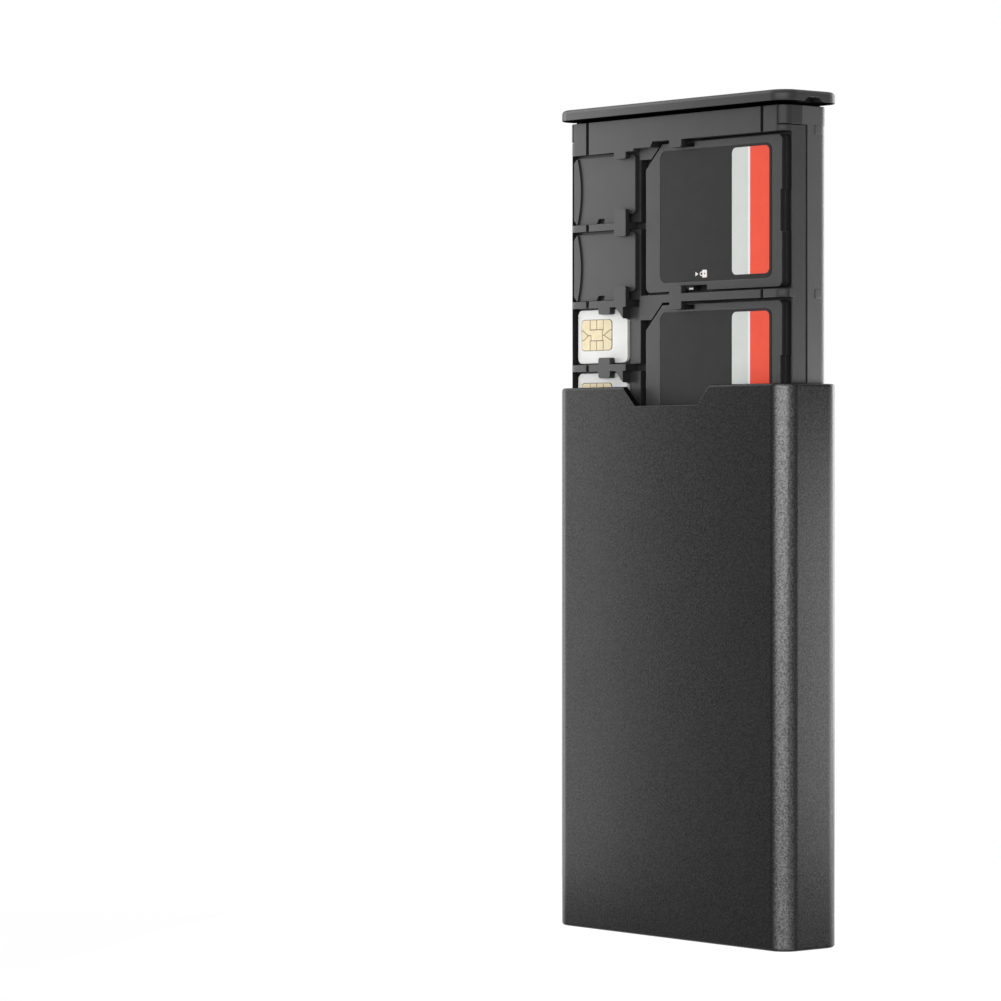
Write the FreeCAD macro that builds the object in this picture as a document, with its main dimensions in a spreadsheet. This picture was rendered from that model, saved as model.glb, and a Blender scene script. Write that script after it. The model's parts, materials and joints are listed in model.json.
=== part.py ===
import FreeCAD, Part
import math
import os
import re
import Sketcher

# Memory card case: an aluminium sleeve with a pull-out tray for SD, micro SD and SIM cards and an eject pin.
# Lengths are in millimetres. X runs to the right, Y from the front to the back, and Z up.
# The tray's pieces are drawn from the cap's underside, the seat, and their heights are drops below it.

SD_COUNT = 3
MICRO_COUNT = 2
SIM_COUNT = 2
WINDOW_COUNT = 8
GRIP_STEPS = 10

SIZES = {
    # SD card
    "sd_length": 32.0,
    "sd_height": 24.0,
    "sd_thickness": 2.1,
    "sd_chamfer": 4.0,
    "sd_corner": 1.0,
    "detent_start": 8.75,
    "detent_length": 2.95,
    "detent_depth": 0.8,
    "end_recess_height": 6.6,
    "end_recess_depth": 0.35,
    "board_left": 3.4,
    "board_edge": 1.6,
    "board_low": 2.2,
    "board_thickness": 0.6,
    "board_gap": 0.1,
    "window_left": 4.0,
    "window_length": 3.0,
    "window_margin": 0.5,
    "window_rib": 0.8,
    "label_left": 3.5,
    "label_right": 2.25,
    "label_above": 1.15,
    "label_below": 1.45,
    "label_corner": 1.4,
    "label_thickness": 0.1,
    "label_gap": 0.08,
    "lock_start": 8.05,
    "lock_notch_length": 6.55,
    "lock_notch_depth": 0.85,
    "lock_length": 2.9,
    "lock_thickness": 1.4,
    "lock_groove": 0.5,
    "lock_tongue": 0.4,
    "lock_gap": 0.1,
    # Micro SD card
    "micro_length": 15.0,
    "micro_height": 11.0,
    "micro_thickness": 0.7,
    "micro_corner": 0.8,
    "micro_step_start": 10.9,
    "micro_step_run": 1.2,
    "micro_step_rise": 1.3,
    "micro_notch_start": 5.45,
    "micro_notch_length": 1.95,
    "micro_notch_slope": 0.5,
    "micro_notch_depth": 0.8,
    "grip_rise": 0.3,
    "grip_edge": 0.05,
    "grip_width": 0.9,
    "grip_bulge": 0.85,
    # Nano SIM card
    "sim_length": 12.3,
    "sim_height": 8.8,
    "sim_thickness": 0.67,
    "sim_chamfer": 1.9,
    "sim_corner": 1.0,
    "contact_length": 7.7,
    "contact_height": 5.2,
    "contact_left": 0.85,
    "contact_above": 1.55,
    "contact_corner": 0.8,
    "contact_recess": 0.1,
    "contact_proud": 0.02,
    "contact_gap": 0.05,
    # Eject pin
    "pin_ring_width": 6.4,
    "pin_ring_length": 22.8,
    "pin_wire": 0.8,
    "pin_thickness": 0.9,
    "pin_needle_length": 7.05,
    "pin_needle_width": 0.8,
    "pin_flare_width": 2.2,
    "pin_flare_rise": 0.9,
    "pin_offset": 8.25,
    "pin_gap": 0.5,
    "pin_sink": 0.6,
    "needle_gap": 0.1,
    "channel_corner": 3.0,
    "pin_room": 2.0,
    "recess_rise": 4.9,
    "recess_depth": 3.0,
    "nub_drop": 4.1,
    "nub_height": 2.9,
    "nub_reach": 1.6,
    # Front leaf: pockets, bars, tabs and grooves
    "card_gap": 0.4,
    "small_gap": 0.25,
    "small_rest": 0.08,
    "sd_end_gap": 1.4,
    "column_gap": 2.25,
    "slot_shelf": 0.6,
    "sim_shift": 0.45,
    "end_wall": 0.5,
    "right_wall": 0.3,
    "bar_height": 1.3,
    "small_bar": 1.15,
    "top_band": 4.55,
    "micro_band": 5.8,
    "lower_band": 7.35,
    "sd_sink": 1.25,
    "micro_sink": 0.95,
    "sim_sink": 1.25,
    "sim_wall_drop": 1.6,
    "bar_end_drop": 2.75,
    "end_drop": 1.95,
    "corner_drop": 1.35,
    "corner_gap": 0.45,
    "corner_height": 2.3,
    "lip_left": 2.45,
    "lip_slope": 0.5,
    "lip_height": 0.85,
    "leaf_floor": 1.45,
    "leaf_corner": 1.85,
    "tab_width": 2.9,
    "tab_overlap": 0.85,
    "tab_gap": 0.15,
    "tab_corner": 0.35,
    "sd_tab_offset": 8.45,
    "micro_tab_offset": 12.25,
    "sim_tab_offset": 7.9,
    "micro_tab_reach": 2.2,
    "groove_width": 0.65,
    "groove_depth": 0.6,
    "groove_inset": 4.63,
    "rub_clearance": 0.3,
    "rub_depth": 1.3,
    "rub_set_back": 1.2,
    "rub_root": 1.6,
    "rub_height": 1.4,
    # Rear frame
    "parting_gap": 0.4,
    "frame_depth": 4.7,
    "frame_corner": 1.85,
    "back_wall": 1.4,
    "frame_side_wall": 3.3,
    "seat_inset": 1.5,
    "collar_height": 3.5,
    "collar_corner": 1.85,
    "collar_block": 1.45,
    "collar_seam": 0.12,
    "foot_height": 4.0,
    "foot_relief": 0.35,
    "foot_corner": 2.2,
    "corner_block_height": 5.5,
    "corner_block_width": 3.35,
    "floor_height": 1.4,
    "leaf_seam": 0.3,
    "tongue_width": 24.0,
    # Pull cap
    "cap_thickness": 1.8,
    "cap_round": 0.7,
    "cap_gap": 0.5,
    "neck_inset": 1.6,
    "neck_end_inset": 0.35,
    "finger_notch_width": 4.1,
    "finger_notch_roof": 2.3,
    "finger_notch_height": 0.7,
    "finger_notch_reach": 2.4,
    # Sleeve and the tray's place in it
    "sleeve_wall": 1.2,
    "sleeve_corner": 3.2,
    "rim_round": 0.5,
    "thumb_notch_width": 20.9,
    "thumb_notch_floor": 14.9,
    "thumb_notch_depth": 3.15,
    "tray_clearance": 0.35,
    "side_relief": 0.1,
    "foot_clearance": 0.1,
    "tray_out": 44.2,
    # Allowances for drawing: how far cuts run past a face, and how close two places count as one
    "cut_overrun": 1.0,
    "match_limit": 0.01,
}

# Sizes that follow from the ones above. A "lift" is a distance towards the front.
FOLLOWS = {
    "side_half": "(sd_length + sd_end_gap + column_gap + micro_length + small_gap + end_wall + right_wall) / 2",
    "collar_half": "side_half + side_relief",
    "bore_half": "collar_half + tray_clearance",
    "sleeve_half": "bore_half + sleeve_wall",
    "rub_half": "bore_half - rub_clearance",
    "leaf_depth": "sd_sink + sd_thickness + leaf_floor",
    "front_lift": "(leaf_depth + parting_gap + frame_depth) / 2",
    "bore_lift": "front_lift + tray_clearance",
    "sleeve_lift": "bore_lift + sleeve_wall",
    "leaf_back_lift": "front_lift - leaf_depth",
    "frame_face_lift": "leaf_back_lift - parting_gap",
    "sd_pocket": "sd_height + 2 * card_gap",
    "sd_pitch": "sd_pocket + bar_height",
    "micro_pocket": "micro_height + 2 * small_gap",
    "micro_pitch": "micro_pocket + small_bar",
    "sim_pocket": "sim_height + 2 * small_gap",
    "sim_pitch": "sim_pocket + small_bar",
    "sim_band": f"micro_band + {MICRO_COUNT} * micro_pitch",
    "needle_drop": f"sim_band + {SIM_COUNT} * sim_pitch + small_gap",
    "ring_drop": "needle_drop + pin_needle_length",
    "ring_low": "ring_drop + pin_ring_length",
    "sd_column": f"top_band + {SD_COUNT} * sd_pitch - bar_height + lower_band",
    "small_column": "ring_low + pin_room + leaf_seam + floor_height",
    "tray_length": "max(sd_column; small_column)",
    "sleeve_length": "tray_length + foot_clearance",
    "seat_height": "sleeve_length + tray_out",
    "sd_right": "side_half - right_wall - sd_end_gap",
    "sd_left": "sd_right - sd_length",
    "small_left": "end_wall + small_gap - side_half",
    "slot_left": "small_left + micro_length + slot_shelf",
    "sim_left": "small_left + sim_shift",
    "sim_right": "sim_left + sim_length + small_gap",
    "bar_end": "small_left + micro_tab_offset + tab_width / 2",
    "sd_tab_left": "sd_left + sd_tab_offset - tab_width / 2",
    "pin_centre": "sim_left + pin_offset",
    "channel_half": "pin_ring_width / 2 + pin_gap",
    "block_inner": "side_half - corner_block_width",
    "leaf_low": "tray_length - floor_height - leaf_seam",
    "half_card": "sd_thickness / 2",
    "window_low": "board_low + window_margin",
    "window_high": "sd_height - board_edge - window_margin",
    "window_pitch": f"(window_high - window_low + window_rib) / {WINDOW_COUNT}",
    "window_height": "window_pitch - window_rib",
    "lock_end": "lock_start + lock_notch_length",
    "neck_half": "collar_half - neck_end_inset",
    "neck_lift": "front_lift - neck_inset",
}

doc = FreeCAD.newDocument("memory_card_case")
sheet = doc.addObject("Spreadsheet::Sheet", "Sizes")
for row, (alias, number) in enumerate(SIZES.items(), start=1):
    sheet.set(f"A{row}", alias)
    sheet.set(f"B{row}", str(number))
    sheet.setAlias(f"B{row}", alias)
doc.recompute()

pieces = []


def spell(text):
    """Write a sum of size names in the sheet's own terms."""
    def swap(found):
        word = found.group(0)
        if word == "max":
            return word
        if word in SIZES:
            return f"Sizes.{word}"
        return f"({spell(FOLLOWS[word])})"
    return re.sub(r"[a-z_]{2,}", swap, str(text))


def value(text):
    """The number that a sum of size names comes to."""
    return float(sheet.evalExpression(spell(text)))


def bind(thing, place, text):
    """Tie one property of a feature to a sum of size names."""
    thing.setExpression(place, spell(text))


def new_body(label, x="0", y="0", z="0"):
    """A named piece with its own place in the case."""
    body = doc.addObject("PartDesign::Body", label)
    body.Label = label
    bind(body, "Placement.Base.x", x)
    bind(body, "Placement.Base.y", y)
    bind(body, "Placement.Base.z", z)
    pieces.append(body)
    return body


def origin_plane(body, role):
    """One of the three planes through a piece's own origin."""
    return [part for part in body.Origin.OriginFeatures if part.Role == role][0]


def new_sketch(body, role, lift="0"):
    """A sketch on one of the piece's own planes, lifted along that plane's normal."""
    sketch = body.newObject("Sketcher::SketchObject", f"{body.Name}_outline")
    sketch.AttachmentSupport = (origin_plane(body, role), [""])
    sketch.MapMode = "FlatFace"
    bind(sketch, "AttachmentOffset.Base.z", lift)
    return sketch


def hold(sketch, kind, *spot, text):
    """Add one dimension to a sketch and tie it to its size."""
    index = sketch.addConstraint(Sketcher.Constraint(kind, *spot, value(text)))
    bind(sketch, f"Constraints[{index}]", text)


def outline(sketch, corners):
    """Draw a closed outline through corners given as (x, y), or (x, y, radius) where two level runs meet."""
    spots = [FreeCAD.Vector(value(corner[0]), value(corner[1]), 0) for corner in corners]
    count = len(corners)
    base = sketch.GeometryCount
    arrive, leave, arcs = [], [], {}
    for index, corner in enumerate(corners):
        here = spots[index]
        into = (spots[index - 1] - here).normalize()
        onward = (spots[(index + 1) % count] - here).normalize()
        radius = value(corner[2]) if len(corner) > 2 else 0
        arrive.append(here + into * radius)
        leave.append(here + onward * radius)
        if radius:
            arcs[index] = (here + (into + onward) * radius, radius, into + onward, into.cross(onward).z < 0)
    runs = [Part.LineSegment(leave[index], arrive[(index + 1) % count]) for index in range(count)]
    sketch.addGeometry(runs, False)
    for index, corner in enumerate(corners):
        before, after = base + (index - 1) % count, base + index
        if index not in arcs:
            sketch.addConstraint(Sketcher.Constraint("Coincident", before, 2, after, 1))
            hold(sketch, "DistanceX", -1, 1, after, 1, text=corner[0])
            hold(sketch, "DistanceY", -1, 1, after, 1, text=corner[1])
            continue
        centre, radius, side, turns_left = arcs[index]
        ends = [arrive[index], leave[index]] if turns_left else [leave[index], arrive[index]]
        angles = [math.atan2(end.y - centre.y, end.x - centre.x) for end in ends]
        circle = Part.Circle(centre, FreeCAD.Vector(0, 0, 1), radius)
        arc = sketch.addGeometry(Part.ArcOfCircle(circle, *angles), False)
        first, last = (1, 2) if turns_left else (2, 1)
        sketch.addConstraint(Sketcher.Constraint("Tangent", before, 2, arc, first))
        sketch.addConstraint(Sketcher.Constraint("Tangent", after, 1, arc, last))
        hold(sketch, "Radius", arc, text=corner[2])
        hold(sketch, "DistanceX", -1, 1, arc, 3, text=f"{corner[0]} + {round(side.x)} * ({corner[2]})")
        hold(sketch, "DistanceY", -1, 1, arc, 3, text=f"{corner[1]} + {round(side.y)} * ({corner[2]})")


def box(left, right, low, high, *radius):
    """The four corners of an upright rectangle, sharp or with one radius."""
    return [(left, low, *radius), (right, low, *radius), (right, high, *radius), (left, high, *radius)]


def feature(kind, body, role, lift, outlines, length, flip=False):
    """Raise or sink outlines drawn on one plane. A flipped pad runs the way a pocket does."""
    sketch = new_sketch(body, role, lift)
    for corners in outlines:
        outline(sketch, corners)
    made = body.newObject(f"PartDesign::{kind}", f"{body.Name}_{kind.lower()}")
    made.Profile = sketch
    made.Reversed = flip
    bind(made, "Length", length)
    sketch.Visibility = False
    doc.recompute()
    return made


def round_edges(body, radius, chosen):
    """Round the edges that a test picks by their middle point and direction."""
    names = []
    base = body.Tip
    for index, edge in enumerate(base.Shape.Edges, start=1):
        middle = edge.valueAt((edge.FirstParameter + edge.LastParameter) / 2)
        along = edge.tangentAt((edge.FirstParameter + edge.LastParameter) / 2)
        if chosen(middle, along):
            names.append(f"Edge{index}")
    made = body.newObject("PartDesign::Fillet", f"{body.Name}_round")
    made.Base = (base, names)
    bind(made, "Radius", radius)
    doc.recompute()


def near(first, second):
    """Two numbers that stand for the same place."""
    return math.isclose(first, second, abs_tol=value("match_limit"))


def upright_side(half, depth):
    """A test for the two upright edges of a piece at one half width and one depth."""
    def chosen(middle, along):
        return near(abs(along.z), 1) and near(middle.y, depth) and near(abs(middle.x), half)
    return chosen


def both_sides(left, right, low, high):
    """A rectangle on the right and its mirror image on the left."""
    return [box(left, right, low, high), box(f"0 - ({right})", f"0 - ({left})", low, high)]


def stadium(sketch, x, low, high, half):
    """A long loop of two straight runs and two half circles."""
    base = sketch.GeometryCount
    middle, radius = value(x), value(half)
    ends = [value(low) + radius, value(high) - radius]
    up = FreeCAD.Vector(0, 0, 1)
    for height, start in ((ends[0], math.pi), (ends[1], 0)):
        circle = Part.Circle(FreeCAD.Vector(middle, height, 0), up, radius)
        sketch.addGeometry(Part.ArcOfCircle(circle, start, start + math.pi), False)
    right = [FreeCAD.Vector(middle + radius, height, 0) for height in ends]
    left = [FreeCAD.Vector(middle - radius, height, 0) for height in reversed(ends)]
    sketch.addGeometry([Part.LineSegment(*right), Part.LineSegment(*left)], False)
    order = [base, base + 2, base + 1, base + 3]
    for before, after in zip(order, order[1:] + order[:1]):
        sketch.addConstraint(Sketcher.Constraint("Tangent", before, 2, after, 1))
    for arc, height in ((base, f"{low} + {half}"), (base + 1, f"{high} - ({half})")):
        hold(sketch, "Radius", arc, text=half)
        hold(sketch, "DistanceX", -1, 1, arc, 3, text=x)
        hold(sketch, "DistanceY", -1, 1, arc, 3, text=height)


def make_sleeve():
    """The outer tube, open at both ends, with a thumb notch in its top front edge."""
    body = new_body("sleeve")
    outer = box("0 - sleeve_half", "sleeve_half", "0 - sleeve_lift", "sleeve_lift", "sleeve_corner")
    inner = box("0 - bore_half", "bore_half", "0 - bore_lift", "bore_lift", "sleeve_corner - sleeve_wall")
    feature("Pad", body, "XY_Plane", "0", [outer, inner], "sleeve_length")
    top, corner = value("sleeve_length"), value("sleeve_corner")
    core = value("sleeve_half - sleeve_corner"), value("sleeve_lift - sleeve_corner")

    def outer_rim(middle, along):
        reach = math.hypot(max(abs(middle.x) - core[0], 0), max(abs(middle.y) - core[1], 0))
        return near(reach, corner) and (near(middle.z, 0) or near(middle.z, top))

    round_edges(body, "rim_round", outer_rim)
    notch = [
        ("0 - thumb_notch_floor / 2", "sleeve_length - thumb_notch_depth"),
        ("thumb_notch_floor / 2", "sleeve_length - thumb_notch_depth"),
        ("thumb_notch_width / 2", "sleeve_length"),
        ("thumb_notch_width / 2", "sleeve_length + cut_overrun"),
        ("0 - thumb_notch_width / 2", "sleeve_length + cut_overrun"),
        ("0 - thumb_notch_width / 2", "sleeve_length"),
    ]
    feature("Pocket", body, "XZ_Plane", "sleeve_lift + cut_overrun", [notch],
            "sleeve_wall + 2 * cut_overrun")


def make_cap():
    """The flat lid on the tray, with a neck under it and a finger notch under each end."""
    body = new_body("pull_cap", z="seat_height")
    plate = box("0 - sleeve_half", "sleeve_half", "0 - sleeve_lift", "sleeve_lift", "sleeve_corner")
    feature("Pad", body, "XY_Plane", "0", [plate], "cap_thickness")
    top = value("cap_thickness")
    round_edges(body, "cap_round", lambda middle, along: near(middle.z, top))
    neck = box("0 - neck_half", "neck_half", "0 - neck_lift", "neck_lift", "collar_corner - neck_inset")
    feature("Pad", body, "XY_Plane", "0", [neck], "cap_gap", flip=True)
    notch = [
        ("0 - finger_notch_width / 2", "0"),
        ("finger_notch_width / 2", "0"),
        ("finger_notch_roof / 2", "finger_notch_height"),
        ("0 - finger_notch_roof / 2", "finger_notch_height"),
    ]
    cut = feature("Pocket", body, "YZ_Plane", "sleeve_half", [notch], "finger_notch_reach")
    mirror = body.newObject("PartDesign::Mirrored", "pull_cap_mirror")
    mirror.Originals = [cut]
    mirror.MirrorPlane = (origin_plane(body, "YZ_Plane"), [""])
    body.Tip = mirror
    doc.recompute()


def sd_bar_drop(index):
    """How far below the seat the bar after so many SD pockets starts."""
    return f"top_band + {index} * sd_pitch - bar_height"


def make_frame():
    """The tray's rear half: ribbed board, collar round the top, foot with corner blocks, rubbing tabs."""
    body = new_body("rear_frame", z="seat_height")
    board = box("0 - side_half", "side_half", "foot_height - tray_length", "0 - collar_height")
    feature("Pad", body, "XZ_Plane", "frame_face_lift", [board], "frame_depth", flip=True)
    round_edges(body, "frame_corner", upright_side(value("side_half"), value("front_lift")))
    collar = box("0 - collar_half", "collar_half", "0 - front_lift", "front_lift", "collar_corner")
    feature("Pad", body, "XY_Plane", "0 - cap_gap", [collar], "collar_height - cap_gap", flip=True)
    foot = box("foot_relief - side_half", "side_half - foot_relief", "0 - front_lift", "front_lift",
               "foot_corner")
    feature("Pad", body, "XY_Plane", "0 - tray_length", [foot], "foot_height")
    blocks = [
        [("block_inner", "0 - front_lift"), ("side_half", "0 - front_lift", "leaf_corner"),
         ("side_half", "0 - frame_face_lift"), ("block_inner", "0 - frame_face_lift")],
        [("0 - side_half", "0 - front_lift", "leaf_corner"), ("0 - block_inner", "0 - front_lift"),
         ("0 - block_inner", "0 - frame_face_lift"), ("0 - side_half", "0 - frame_face_lift")],
    ]
    feature("Pad", body, "XY_Plane", "foot_height - tray_length", blocks,
            "corner_block_height - foot_height")
    plateau = box("seat_inset - side_half", "side_half - seat_inset",
                  f"0 - ({sd_bar_drop(SD_COUNT)} + bar_height)", "0 - collar_height")
    feature("Pad", body, "XZ_Plane", "leaf_back_lift", [plateau], "parting_gap", flip=True)
    # Room for the leaf: between the collar's blocks, between the corner blocks, and for its tongue
    throat = box("collar_block - collar_half", "collar_half - collar_block", "0 - collar_height", "0")
    feature("Pocket", body, "XZ_Plane", "front_lift", [throat], "leaf_depth")
    well = [
        ("0 - tongue_width / 2 - leaf_seam", "0 - tray_length - cut_overrun"),
        ("tongue_width / 2 + leaf_seam", "0 - tray_length - cut_overrun"),
        ("tongue_width / 2 + leaf_seam", "floor_height - tray_length"),
        ("block_inner", "floor_height - tray_length"),
        ("block_inner", "corner_block_height - tray_length"),
        ("0 - block_inner", "corner_block_height - tray_length"),
        ("0 - block_inner", "floor_height - tray_length"),
        ("0 - tongue_width / 2 - leaf_seam", "floor_height - tray_length"),
    ]
    feature("Pocket", body, "XZ_Plane", "front_lift", [well], "leaf_depth + parting_gap")
    # Hollows behind the leaf, with a rib between each two
    hollows = [box("frame_side_wall - side_half", "side_half - frame_side_wall",
                   f"0 - ({sd_bar_drop(index + 1)})", f"0 - top_band - {index} * sd_pitch")
               for index in range(SD_COUNT)]
    feature("Pocket", body, "XZ_Plane", "leaf_back_lift", hollows, "parting_gap + frame_depth - back_wall")
    # Tabs on both sides that guide the tray in the sleeve
    drops = ["collar_height"] + [sd_bar_drop(index + 1) for index in range(SD_COUNT)]
    tabs = []
    for drop in drops:
        low, high = f"0 - ({drop}) - rub_height", f"0 - ({drop})"
        tabs += both_sides("side_half - rub_root", "rub_half", low, high)
    feature("Pad", body, "XZ_Plane", "frame_face_lift - rub_root", tabs, "rub_depth", flip=True)


def leaf_side(sign):
    """One side of the leaf's outline, from the bottom of its tongue up to its top."""
    side = [
        ("tongue_width / 2", "0 - tray_length"),
        ("tongue_width / 2", "0 - leaf_low"),
        ("block_inner - leaf_seam", "0 - leaf_low"),
        ("block_inner - leaf_seam", "corner_block_height + leaf_seam - tray_length"),
        ("side_half", "corner_block_height + leaf_seam - tray_length"),
        ("side_half", "0 - collar_height - collar_seam"),
        ("collar_half - collar_block - collar_seam", "0 - collar_height - collar_seam"),
        ("collar_half - collar_block - collar_seam", "0 - cap_gap"),
    ]
    return [(f"{sign} * ({x})", z) for x, z in side]


def drop_box(left, right, drop, height, *radius):
    """A rectangle whose top is a drop below the seat, sharp or with one radius."""
    return box(left, right, f"0 - ({drop}) - ({height})", f"0 - ({drop})", *radius)


def card_tab(middle, first, last):
    """A retaining tab with round corners about one middle line, from its first drop to its last."""
    left, right = f"{middle} - tab_width / 2", f"{middle} + tab_width / 2"
    return drop_box(left, right, first, f"{last} - ({first})", "tab_corner")


def make_leaf():
    """The tray's front half: pockets for the cards and the pin, bars between them and retaining tabs."""
    body = new_body("front_leaf", z="seat_height")
    whole = leaf_side("1") + list(reversed(leaf_side("(0 - 1)")))
    feature("Pad", body, "XZ_Plane", "front_lift", [whole], "leaf_depth", flip=True)
    round_edges(body, "leaf_corner", upright_side(value("side_half"), value("0 - front_lift")))
    # SD pockets: a shallow step first, then the card's own shape with its cut corner, then an open right end
    steps, floors, ends, low_bars = [], [], [], []
    lip_right = "sd_left + lip_left"
    for index in range(SD_COUNT):
        top = f"top_band + {index} * sd_pitch"
        corner = f"{top} + card_gap + corner_height"
        lip = f"{top} + lip_height"
        steps.append(drop_box("slot_left", "sd_right + sd_end_gap", top, "sd_pocket"))
        ends.append(drop_box("sd_right", "side_half + cut_overrun", top, "sd_pocket"))
        start = [("sd_left + sd_chamfer - corner_gap + card_gap", f"0 - ({top})")]
        if index:
            low_bars.append(drop_box("slot_left", "sd_tab_left", sd_bar_drop(index), "bar_height"))
        else:
            start = [
                (f"{lip_right} + lip_slope", f"0 - ({top})"),
                (lip_right, f"0 - ({lip})"),
                ("sd_left + sd_chamfer - corner_gap + card_gap - lip_height", f"0 - ({lip})"),
            ]
        floors.append([
            ("slot_left", f"0 - ({top}) - sd_pocket"),
            ("sd_right + sd_end_gap", f"0 - ({top}) - sd_pocket"),
            ("sd_right + sd_end_gap", f"0 - ({top})"),
            *start,
            ("sd_left + sd_chamfer - corner_gap - corner_height", f"0 - ({corner})"),
            ("slot_left", f"0 - ({corner})"),
        ])
    feature("Pocket", body, "XZ_Plane", "front_lift", steps, "corner_drop")
    feature("Pocket", body, "XZ_Plane", "front_lift", floors, "sd_sink + sd_thickness")
    feature("Pocket", body, "XZ_Plane", "front_lift", ends, "end_drop")
    feature("Pocket", body, "XZ_Plane", "front_lift", low_bars, "corner_drop")
    # The first pocket's upper edge hangs lower beside the cut corner
    lip = [
        ("slot_left", "0 - top_band - lip_height"),
        (lip_right, "0 - top_band - lip_height"),
        (f"{lip_right} + lip_slope", "0 - top_band"),
        ("slot_left", "0 - top_band"),
    ]
    feature("Pad", body, "XZ_Plane", "front_lift", [lip], "corner_drop", flip=True)
    # Small pockets: the floors follow the cards, and the wall right of each SIM card is low
    micro_tops = [f"micro_band + {index} * micro_pitch" for index in range(MICRO_COUNT)]
    sim_tops = [f"sim_band + {index} * sim_pitch" for index in range(SIM_COUNT)]
    inside = "end_wall - side_half"
    micro_floors = [drop_box(inside, "slot_left", top, "micro_pocket") for top in micro_tops]
    feature("Pocket", body, "XZ_Plane", "front_lift", micro_floors, "micro_sink + micro_thickness")
    sim_floors = [[
        (inside, f"0 - ({top}) - sim_pocket"),
        ("sim_right", f"0 - ({top}) - sim_pocket"),
        ("sim_right", f"0 - ({top}) - sim_chamfer"),
        ("sim_right - sim_chamfer", f"0 - ({top})"),
        (inside, f"0 - ({top})"),
    ] for top in sim_tops]
    feature("Pocket", body, "XZ_Plane", "front_lift", sim_floors, "sim_sink + sim_thickness")
    sim_walls = [drop_box("sim_right", "slot_left", top, "sim_pocket") for top in sim_tops]
    feature("Pocket", body, "XZ_Plane", "front_lift", sim_walls, "sim_wall_drop")
    bar_ends = [drop_box("bar_end", "slot_left", f"{top} - small_bar", "small_bar")
                for top in micro_tops[1:] + sim_tops]
    feature("Pocket", body, "XZ_Plane", "front_lift", bar_ends, "bar_end_drop")
    # Pin: channel round the ring, slot for the needle, deeper recess for a finger at the ring's end
    pin_floor = "pin_sink + pin_thickness"
    left, right = "pin_centre - channel_half", "pin_centre + channel_half"
    channel = [
        (left, "0 - tray_length"),
        (right, "0 - tray_length"),
        (right, "pin_flare_rise - ring_drop", "channel_corner"),
        (left, "pin_flare_rise - ring_drop", "channel_corner"),
    ]
    feature("Pocket", body, "XZ_Plane", "front_lift", [channel], pin_floor)
    slot = "pin_needle_width / 2 + needle_gap"
    needle = drop_box(f"pin_centre - ({slot})", f"pin_centre + {slot}", "needle_drop - small_gap",
                      "pin_needle_length + small_gap")
    feature("Pocket", body, "XZ_Plane", "front_lift", [needle], pin_floor)
    recess = drop_box(left, right, "ring_low - recess_rise", "tray_length - ring_low + recess_rise")
    feature("Pocket", body, "XZ_Plane", "front_lift", [recess], "recess_depth")
    # Grooves down the front, near both sides
    groove_end = "side_half - groove_inset"
    grooves = both_sides(f"{groove_end} - groove_width", groove_end, "0 - tray_length", "0")
    feature("Pocket", body, "XZ_Plane", "front_lift", grooves, "groove_depth")
    # Retaining tabs over the edges of the cards and of the pin's ring
    sd_tabs = []
    for index in range(SD_COUNT + 1):
        above = f"top_band + {index} * sd_pitch - bar_height - card_gap - tab_overlap"
        first = "top_band - tab_overlap" if index == 0 else above
        last = f"top_band + {index} * sd_pitch + card_gap + tab_overlap"
        if index == SD_COUNT:
            last = f"{sd_bar_drop(index)} + tab_overlap"
        sd_tabs.append(card_tab("sd_left + sd_tab_offset", first, last))
    feature("Pad", body, "XZ_Plane", "front_lift", sd_tabs, "sd_sink - tab_gap", flip=True)
    micro_tabs = []
    for index in range(MICRO_COUNT + 1):
        top = f"micro_band + {index} * micro_pitch"
        first = f"{top} - small_bar - micro_tab_reach" if index else "micro_band - small_bar"
        last = f"{top} + small_gap + tab_overlap" if index < MICRO_COUNT else top
        micro_tabs.append(card_tab("small_left + micro_tab_offset", first, last))
    feature("Pad", body, "XZ_Plane", "front_lift", micro_tabs, "micro_sink - tab_gap", flip=True)
    sim_tabs = []
    for index in range(SIM_COUNT + 1):
        top = f"sim_band + {index} * sim_pitch"
        first = f"{top} - small_bar - small_gap - tab_overlap" if index else f"{top} - small_bar"
        last = f"{top} + small_gap + tab_overlap" if index < SIM_COUNT else f"{top} - small_gap"
        sim_tabs.append(card_tab("sim_left + sim_tab_offset", first, last))
    feature("Pad", body, "XZ_Plane", "front_lift", sim_tabs, "sim_sink - tab_gap", flip=True)
    nubs = [
        drop_box(f"{left} - pin_gap", f"{left} + nub_reach", "ring_drop + nub_drop", "nub_height"),
        drop_box(f"{right} - nub_reach", f"{right} + pin_gap", "ring_drop + nub_drop", "nub_height"),
    ]
    feature("Pad", body, "XZ_Plane", "front_lift", nubs, "pin_sink - tab_gap", flip=True)
    # Tabs at the bars' ends that guide the tray in the sleeve
    bars = [drop_box("side_half - rub_root", "rub_half", sd_bar_drop(index + 1), "bar_height")
            for index in range(SD_COUNT)]
    small_drops = [f"micro_band + {index + 1} * micro_pitch - small_bar" for index in range(MICRO_COUNT)]
    small_drops.append("sim_band + sim_pitch - small_bar")
    bars += [drop_box("0 - rub_half", "rub_root - side_half", drop, "small_bar") for drop in small_drops]
    feature("Pad", body, "XZ_Plane", "front_lift - rub_set_back", bars, "rub_depth", flip=True)


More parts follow.
